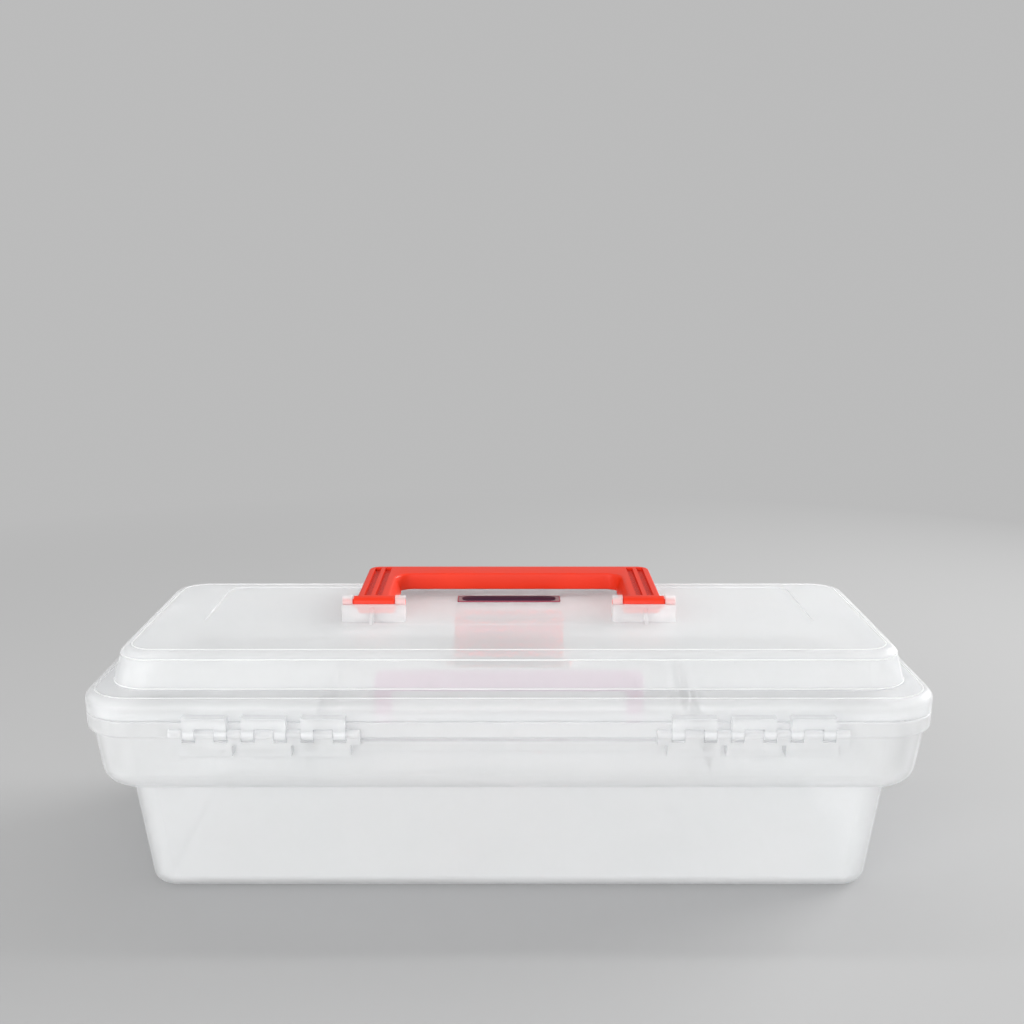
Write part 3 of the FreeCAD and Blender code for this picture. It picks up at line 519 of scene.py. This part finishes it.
@dataclass(frozen=True)
class SolidPlastic:
    """Pigmented moulded plastic with a fine satin grain."""

    name: str
    main: Colour
    shade: Colour
    roughness: float = 0.34
    smoother: float = 0.04
    rougher: float = 0.07
    refraction: float = 1.5
    shine: float = 0.5
    scatter: float = 0.0
    scatter_reach: Point = (1.0, 0.25, 0.35)
    flow_cells: float = 35.0
    grain: float = 0.00003
    grain_cells: float = 1400.0
    grain_strength: float = 0.4
    stippled: bool = False

    def make(self) -> bpy.types.Material:
        """Build the material.

        Returns:
            The finished material.
        """
        board = NodeBoard(bpy.data.materials.new(self.name))
        place = board.add("ShaderNodeTexCoord").outputs["Object"]
        flow = board.noise(place, self.flow_cells, CLOUD_DETAIL)
        fine = board.noise(place, self.grain_cells, GRAIN_DETAIL)
        share = board.spread(fine if self.stippled else flow, 0.0, 1.0)
        shader = board.add("ShaderNodeBsdfPrincipled", IOR=self.refraction,
                           Specular_IOR_Level=self.shine)
        if self.scatter:
            shader.inputs["Subsurface Weight"].default_value = 1.0
            shader.inputs["Subsurface Scale"].default_value = self.scatter
            shader.inputs["Subsurface Radius"].default_value = self.scatter_reach
        board.join(board.two_tone(share, self.shade, self.main), shader.inputs["Base Color"])
        rough = board.spread(flow, self.roughness - self.smoother, self.roughness + self.rougher)
        board.join(rough, shader.inputs["Roughness"])
        bumps = board.bump(fine, self.grain_strength, self.grain)
        board.join(bumps, shader.inputs["Normal"])
        return board.finish(shader)


CLEAR = MilkyPlastic()
TRAY = MilkyPlastic("clear_tray_polypropylene", face_density=0.08, edge_density=0.4)
# Whiter, denser plastic for the lid's raised lines: painted highlights along the lid's rounded
# edges.
PAINTED_HIGHLIGHT = MilkyPlastic("painted_highlight_polypropylene", (250, 251, 252), (248, 249, 251),
                     face_density=0.55, edge_density=0.9)
# Darker, pinker plastic for the tray bar: painted shade and a painted reflection of the red handle
# on clear plastic.
PAINTED_SHADE_BAR = MilkyPlastic("painted_shade_and_reflection_polypropylene", (202, 162, 186), (196, 154, 180),
                      face_density=0.8, edge_density=0.95)
RED = SolidPlastic("orange_red_plastic", (220, 50, 22), (214, 45, 19), roughness=0.42, shine=0.25)
STIPPLE = SolidPlastic("stippled_red_plastic", (236, 74, 56), (176, 34, 26), roughness=0.5,
                       shine=0.25, grain=0.0003, grain_cells=1500.0, grain_strength=0.9,
                       stippled=True)
LATCH_RED = SolidPlastic("translucent_red_plastic", (246, 54, 62), (242, 48, 56), shine=0.25,
                         scatter=0.02)
LABEL = SolidPlastic("dark_label_film", (26, 30, 56), (21, 25, 48), roughness=0.4, shine=0.2,
                     grain=0.00002)
LABEL_RIM = SolidPlastic("label_border", (150, 70, 86), (138, 62, 78), roughness=0.4, shine=0.2,
                         grain=0.00002)


def dress(node: str, material: bpy.types.Material) -> None:
    """Give a carried-over node its finished material.

    Args:
        node: The node's name.
        material: The material for all its faces.
    """
    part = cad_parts[node]
    if part.material_slots:
        for place in part.material_slots:
            place.material = material
    else:
        part.data.materials.append(material)
    LOG.info("%s carries %s", node, material.name)


@dataclass
class CarryHandle:
    """The folding handle: a hollow U with grooved legs, rounded feet and moulded pins."""

    half_width: float = 84.4
    leg: float = 17.6
    flare: float = 3.2
    top: float = 141.5
    thickness: float = 10.0
    axis_back: float = 7.5
    axis_height: float = 138.0
    reach: float = 71.0
    grip: float = 18.5
    outer_corner: float = 7.0
    inner_corner: float = 10.0
    edge: float = 1.3
    edge_steps: int = 4
    wall: float = 2.4
    hollow: float = 7.0
    rib_pitch: float = 12.0
    rib_half: float = 0.7
    rib_lap: float = 0.6
    rib_inset: float = 0.5
    rib_rise: float = 0.2
    grip_ribs: int = 5
    leg_ribs: int = 4
    leg_rib_start: float = 2.0
    groove: float = 3.8
    groove_pitch: float = 6.1
    groove_shift: float = 0.3
    groove_margin: float = 4.0
    groove_depth: float = 2.0
    foot: float = 3.5
    foot_reach: float = 2.0
    foot_edge: float = 0.7
    pin: float = 1.9
    pin_ends: Span = (57.6, 92.4)

    @property
    def far(self) -> float:
        """Y of the grip's outer side."""
        return self.axis_back - self.reach

    @property
    def under(self) -> float:
        """Height of the underside."""
        return self.top - self.thickness

    @property
    def inner(self) -> float:
        """X of a leg's inner side at the top."""
        return self.half_width - self.leg

    def shell(self, mould: Moulding) -> None:
        """Draw the U, flare the inner sides of its legs and soften its edges.

        Args:
            mould: The empty moulding.
        """
        near = self.far + self.grip
        right = [(self.half_width, self.far), (self.half_width, self.axis_back),
                 (self.inner, self.axis_back), (self.inner, near)]
        outline = right + [(-x, y) for x, y in reversed(right)]
        mould.plate(outline, self.top, self.thickness,
                    {0: self.outer_corner, 7: self.outer_corner,
                     3: self.inner_corner, 4: self.inner_corner})
        for vert in mould.shape.verts:
            low = vert.co.z < self.under + SLACK
            if low and vert.co.y > near and abs(vert.co.x) < self.inner + SLACK:
                share = min((vert.co.y - near) / self.inner_corner, 1.0)
                vert.co.x -= math.copysign(self.flare * share, vert.co.x)
        mould.soften(self.edge, self.edge_steps, lambda edge: is_level(edge)
                     and min(vert.co.y for vert in edge.verts) < self.axis_back - SLACK)

    def underside(self, mould: Moulding) -> None:
        """Hollow the underside, as moulded handles are, and brace it with cross ribs.

        Args:
            mould: The moulding with the U drawn.
        """
        floor = mould.widest(DOWN)
        bmesh.ops.inset_region(mould.shape, faces=[floor], thickness=self.wall - self.edge,
                               use_even_offset=True)
        mould.sink([floor], (0.0, 0.0, self.hollow))
        foot, head = self.under + self.rib_inset, self.under + self.hollow + self.rib_rise
        tuck = self.wall - self.rib_lap
        for number in range(-self.grip_ribs, self.grip_ribs + 1):
            middle = number * self.rib_pitch
            mould.block((middle - self.rib_half, self.far + tuck, foot),
                        (middle + self.rib_half, self.far + self.grip - tuck, head))
        for side in SIDES:
            left, right = sorted((side * (self.inner + tuck), side * (self.half_width - tuck)))
            for number in range(self.leg_ribs):
                middle = self.far + self.grip + self.leg_rib_start + number * self.rib_pitch
                mould.block((left, middle - self.rib_half, foot),
                            (right, middle + self.rib_half, head))

    def grooves(self, mould: Moulding) -> None:
        """Sink the two grooves into the top of each leg.

        Args:
            mould: The moulding with the U drawn.
        """
        low = self.far + self.groove_margin
        high = self.axis_back - self.foot / 2
        middle = self.half_width - self.leg / 2 + self.groove_shift
        spans = [(middle + turn * self.groove_pitch / 2 - self.groove / 2,
                  middle + turn * self.groove_pitch / 2 + self.groove / 2) for turn in SIDES]
        for side in SIDES:
            for span in spans:
                for edge in span:
                    mould.slice((side * edge, 0.0, 0.0), (1.0, 0.0, 0.0))
        for y in (low, high):
            mould.slice((0.0, y, 0.0), (0.0, 1.0, 0.0))
        for side in SIDES:
            for start, end in spans:
                faces = []
                for face in mould.shape.faces:
                    x, y, z = face.calc_center_median()
                    upper = face.normal.z > FACING and z > self.top - SLACK / 2
                    if upper and start < side * x < end and low < y < high:
                        faces.append(face)
                mould.sink(faces, (0.0, 0.0, -self.groove_depth), 1)

    def build(self, red: bpy.types.Material, stippled: bpy.types.Material) -> None:
        """Make the handle and let it stand for its node.

        Args:
            red: Finish of the handle.
            stippled: Finish of the floors of its grooves.
        """
        mould = Moulding()
        self.shell(mould)
        self.underside(mould)
        self.grooves(mould)
        for side in SIDES:
            foot = sorted((side * (self.inner - self.flare),
                           side * (self.half_width + self.foot_reach)))
            pins = sorted(side * end for end in self.pin_ends)
            mould.bar(*foot, self.axis_back, self.axis_height, self.foot, self.foot_edge)
            mould.bar(*pins, self.axis_back, self.axis_height, self.pin)
        made = mould.piece("carry_handle", Body.HANDLE, [red, stippled])
        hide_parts("handle")


@dataclass
class FrontLatch:
    """The front latch: a plate with a finger lip, grip ribs, a hook inside and a pinned foot."""

    half_width: float = 35.5
    inner_face: float = -102.4
    thickness: float = 3.0
    axis: Span = (-100.7, 68.0)
    top: float = 102.0
    corner: float = 5.0
    edge: float = 0.5
    edge_steps: int = 3
    lip: float = 3.2
    lip_height: float = 6.0
    recess: float = 1.5
    recess_margin: float = 4.0
    foot: float = 3.5
    foot_edge: float = 0.6
    pin: float = 1.9
    pin_reach: float = 40.8
    hook: Point = (28.0, 99.2, 101.4)
    hook_root: float = 1.0
    hook_depth: float = 0.85
    hook_edge: float = 0.25
    ribs: Point = (76.0, 81.0, 86.0)
    rib_height: float = 2.0
    rib_margin: float = 8.0
    rib_proud: float = 1.1
    rib_root: float = 1.4
    rib_edge: float = 0.6

    def plate(self, mould: Moulding) -> None:
        """Draw the upright plate, lean its lip outwards and sink its face.

        Args:
            mould: The empty moulding.
        """
        half = self.half_width
        foot = self.axis[1]
        outline = [(-half, -foot), (half, -foot), (half, -self.top), (-half, -self.top)]
        mould.plate(outline, 0.0, self.thickness, {2: self.corner, 3: self.corner})
        upright = Matrix.Rotation(-math.pi / 2, 4, "X")
        place = Matrix.Translation((0.0, self.inner_face, 0.0)) @ upright
        bmesh.ops.transform(mould.shape, matrix=place, verts=mould.shape.verts)
        bend = self.top - self.lip_height
        mould.slice((0.0, 0.0, bend), UP)
        for vert in mould.shape.verts:
            vert.co.y -= self.lip * max(vert.co.z - bend, 0.0) / self.lip_height
        front = mould.widest(FORWARD)
        bmesh.ops.inset_region(mould.shape, faces=[front], thickness=self.recess_margin,
                               use_even_offset=True)
        mould.sink([front], (0.0, self.recess, 0.0))
        mould.soften(self.edge, self.edge_steps, lambda edge: True)

    def build(self, red: bpy.types.Material) -> None:
        """Make the latch and let it stand for its node.

        Args:
            red: Finish of the latch.
        """
        mould = Moulding()
        self.plate(mould)
        half = self.half_width
        outer = self.inner_face - self.thickness
        for rib in self.ribs:
            mould.block((self.rib_margin - half, outer - self.rib_proud, rib),
                        (half - self.rib_margin, outer + self.rib_root, rib + self.rib_height),
                        self.rib_edge)
        reach, low, high = self.hook
        mould.block((-reach, self.inner_face - self.hook_root, low),
                    (reach, self.inner_face + self.hook_depth, high), self.hook_edge)
        mould.bar(-half, half, *self.axis, self.foot, self.foot_edge)
        mould.bar(-self.pin_reach, self.pin_reach, *self.axis, self.pin)
        made = mould.piece("front_latch", Body.LATCH, [red])
        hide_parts("latch")


@dataclass
class LabelPlate:
    """The blank label in the lid's field: a dark bar with round ends inside a thin border."""

    middle: float = -34.5
    base: float = 128.2
    thickness: float = 0.8
    half_length: float = 30.2
    half_width: float = 6.05
    corner: float = 1.0
    border: float = 0.6
    border_drop: float = 0.1
    field_depth: float = 0.2
    bar_length: float = 27.6
    bar_width: float = 4.8
    bar_lift: float = 0.35
    bar_roundness: float = 0.95
    bar_edge: float = 0.12
    bar_steps: int = 2

    def tablet(self, mould: Moulding, half: Span, top: float, thickness: float,
               corner: float) -> None:
        """Draw a rounded plate centred on the label.

        Args:
            mould: The empty moulding.
            half: Half length and half width.
            top: Height of its upper side.
            thickness: Its thickness.
            corner: Radius of its corners.
        """
        length, width = half
        low, high = self.middle - width, self.middle + width
        outline = [(-length, low), (length, low), (length, high), (-length, high)]
        mould.plate(outline, top, thickness, {number: corner for number in range(4)})

    def build(self, clear: bpy.types.Material, rim: bpy.types.Material,
              dark: bpy.types.Material) -> None:
        """Make the label and let it stand for its node.

        Args:
            clear: Finish of the backing's field.
            rim: Finish of its border.
            dark: Finish of the bar.
        """
        top = self.base + self.thickness
        mould = Moulding()
        self.tablet(mould, (self.half_length, self.half_width), top - self.border_drop,
                    self.thickness - self.border_drop, self.corner)
        for face in mould.shape.faces:
            face.material_index = 1
        upper = mould.widest(UP)
        bmesh.ops.inset_region(mould.shape, faces=[upper], thickness=self.border,
                               use_even_offset=True)
        mould.sink([upper], (0.0, 0.0, -self.field_depth), 0)
        backing = mould.piece("label_backing", Body.LID, [clear, rim])
        mould = Moulding()
        self.tablet(mould, (self.bar_length, self.bar_width), top,
                    self.thickness - self.bar_lift, self.bar_width * self.bar_roundness)
        mould.soften(self.bar_edge, self.bar_steps,
                     lambda edge: min(vert.co.z for vert in edge.verts) > top - LEVEL_SLACK)
        bar = mould.piece("label_bar", Body.LID, [dark])
        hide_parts("label_plate")
        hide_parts("label_plate")


@dataclass
class LidLines:
    """The fine raised lines that run round the lid's panel and round the top of its skirt, in a
    whiter, denser plastic that paints the highlights of the lid's rounded edges.
    """

    panel: Span = (202.0, 72.5)
    lean: Span = (0.25, 0.472)
    panel_top: float = 129.0
    panel_corner: float = 18.0
    corner_growth: float = 0.22
    panel_inset: Span = (4.4, 4.2)
    panel_inset_corner: float = 4.0
    panel_line: Span = (0.7, 0.7)
    side_lines: tuple[Span, ...] = ((3.8, 0.7), (17.2, 0.6))
    side_width: float = 1.4
    shelf: float = 111.0
    rim: Span = (218.0, 97.5)
    rim_corner: float = 27.0
    rim_inset: float = 4.8
    rim_line: Span = (0.8, 0.7)
    proud: float = 0.25

    def around_side(self, mould: Moulding, drop: float, height: float) -> None:
        """Add a line on the panel's leaning sides.

        Args:
            mould: The moulding it belongs to.
            drop: Middle of the line below the panel's top.
            height: Its height.
        """
        length, width = (reach + lean * drop + self.proud
                         for reach, lean in zip(self.panel, self.lean))
        corner = self.panel_corner + self.corner_growth * drop + self.proud
        top = self.panel_top - drop + height / 2
        mould.ring((length, width), corner, top, (self.side_width, height))

    def build(self, plastic: bpy.types.Material) -> None:
        """Make the lines as one piece on the lid.

        Args:
            plastic: Finish of the lines, the whiter plastic that paints their highlights.
        """
        mould = Moulding()
        length, width = (reach - inset for reach, inset in zip(self.panel, self.panel_inset))
        mould.ring((length, width), self.panel_corner - self.panel_inset_corner,
                   self.panel_top + self.proud, self.panel_line)
        for drop, height in self.side_lines:
            self.around_side(mould, drop, height)
        length, width = (reach - self.rim_inset for reach in self.rim)
        mould.ring((length, width), self.rim_corner - self.rim_inset,
                   self.shelf + self.proud, self.rim_line)
        mould.piece("lid_lines", Body.LID, [plastic])


@dataclass(frozen=True)
class Softbox:
    """One rectangular lamp: its place, its width and height in metres, and its watts."""

    name: str
    place: Point
    size: Span
    watts: float


SOFTBOXES = (
    Softbox("key_softbox", (0.9, 1.6, 0.6), (1.4, 0.9), 22.5),
    Softbox("fill_softbox", (-0.4, 1.85, 0.5), (1.2, 0.8), 12.5),
    Softbox("right_softbox", (-1.75, 0.1, 0.6), (1.0, 0.8), 1.0),
    Softbox("left_softbox", (1.8, -0.1, 0.6), (1.0, 0.8), 2.0),
    Softbox("front_softbox", (-1.65, -0.95, 0.75), (1.3, 1.0), 42.0),
    Softbox("strip_light", (0.0, -0.4, 1.1), (1.8, 0.1), 3.2),
)


@dataclass
class Studio:
    """Pale floor, soft lamps and the camera."""

    floor_reach: float = 6.0
    floor_sides: int = 96
    floor_colour: Colour = (176, 176, 176)
    floor_fade: Span = (0.4, 1.1)
    backdrop: float = 0.5
    world_light: float = 0.54
    camera_back: float = 0.692
    camera_height: float = 0.3227
    pitch: float = 17.0
    lens: float = 44.69
    sensor: float = 36.0
    shift: Span = (0.003, 0.129)
    aim: Point = (0.0, 0.0, 0.07)
    softboxes: tuple[Softbox, ...] = SOFTBOXES

    def floor(self) -> None:
        """Make the round pale floor, which fades into the backdrop far from the object."""
        board = NodeBoard(bpy.data.materials.new("pale_floor"))
        near = board.add("ShaderNodeBsdfDiffuse", Color=linear(*self.floor_colour))
        far = board.add("ShaderNodeEmission", Strength=self.backdrop)
        reach = board.add("ShaderNodeVectorMath", operation="LENGTH")
        board.join(board.add("ShaderNodeTexCoord").outputs["Object"], reach.inputs[0])
        fade = board.spread(reach.outputs["Value"], 0.0, 1.0, *self.floor_fade)
        seen = board.add("ShaderNodeLightPath").outputs["Is Camera Ray"]
        share = board.combine(Sum.PRODUCT, fade, seen)
        material = board.finish(board.blend(share, near, far))
        mesh = bpy.data.meshes.new("studio_floor")
        shape = bmesh.new()
        bmesh.ops.create_circle(shape, cap_ends=True, segments=self.floor_sides,
                                radius=self.floor_reach)
        shape.to_mesh(mesh)
        shape.free()
        mesh.materials.append(material)
        ground = bpy.data.objects.new("studio_floor", mesh)
        bpy.context.scene.collection.objects.link(ground)

    def world(self) -> None:
        """Light the object evenly, with a pale backdrop behind it."""
        board = NodeBoard(bpy.data.worlds.new("studio"), "ShaderNodeOutputWorld")
        grey = (self.backdrop, self.backdrop, self.backdrop, 1.0)
        behind = board.add("ShaderNodeBackground", Color=grey)
        light = board.add("ShaderNodeBackground", Color=(1.0, 1.0, 1.0, 1.0),
                          Strength=self.world_light)
        path = board.add("ShaderNodeLightPath").outputs
        straight = board.combine(Sum.HIGHER, path["Is Camera Ray"], path["Is Transmission Ray"])
        seen = board.combine(Sum.HIGHER, straight, path["Is Glossy Ray"])
        bpy.context.scene.world = board.finish(board.blend(seen, light, behind))

    def lights(self) -> None:
        """Hang the softboxes, each aimed at the middle of the box."""
        for softbox in self.softboxes:
            lamp = bpy.data.lights.new(softbox.name, "AREA")
            lamp.shape = "RECTANGLE"
            lamp.size, lamp.size_y = softbox.size
            lamp.energy = softbox.watts
            holder = bpy.data.objects.new(softbox.name, lamp)
            holder.location = softbox.place
            line = Vector(self.aim) - Vector(softbox.place)
            holder.rotation_euler = line.to_track_quat("-Z", "Y").to_euler()
            bpy.context.scene.collection.objects.link(holder)

    def camera(self) -> None:
        """Place the camera as the photograph was taken, behind the hinge and above the lid."""
        view = bpy.data.cameras.new("photo_camera")
        view.sensor_width = self.sensor
        view.lens = self.lens
        view.shift_x, view.shift_y = self.shift
        holder = bpy.data.objects.new("photo_camera", view)
        holder.location = (0.0, self.camera_back, self.camera_height)
        holder.rotation_euler = Euler((math.radians(90.0 - self.pitch), 0.0, math.pi))
        bpy.context.scene.collection.objects.link(holder)
        bpy.context.scene.camera = holder

    def build(self) -> None:
        """Set up the whole studio."""
        self.floor()
        self.world()
        self.lights()
        self.camera()
        bpy.context.scene.view_settings.view_transform = "Standard"
        LOG.info("studio: %d lamps", len(self.softboxes))


def corners(box: tuple[Vector, Vector]) -> list[list[float]]:
    """Turn a box into plain lists of numbers."""
    return [list(map(float, corner)) for corner in box]


def main() -> None:
    """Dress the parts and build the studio."""
    logging.basicConfig(level=logging.INFO, format="%(name)s: %(message)s")
    clear = CLEAR.make()
    for node in ("tub", "lid"):
        dress(node, clear)
    dress("tray", TRAY.make())
    # The tray bar gets the painted shade and the painted red reflection.
    dress("tray_handle", PAINTED_SHADE_BAR.make())
    CarryHandle().build(RED.make(), STIPPLE.make())
    FrontLatch().build(LATCH_RED.make())
    LabelPlate().build(clear, LABEL_RIM.make(), LABEL.make())
    # The lid's lines get the whiter plastic as painted highlights.
    LidLines().build(PAINTED_HIGHLIGHT.make())
    Studio().build()
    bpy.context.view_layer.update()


if __name__ == "__main__":
    main()
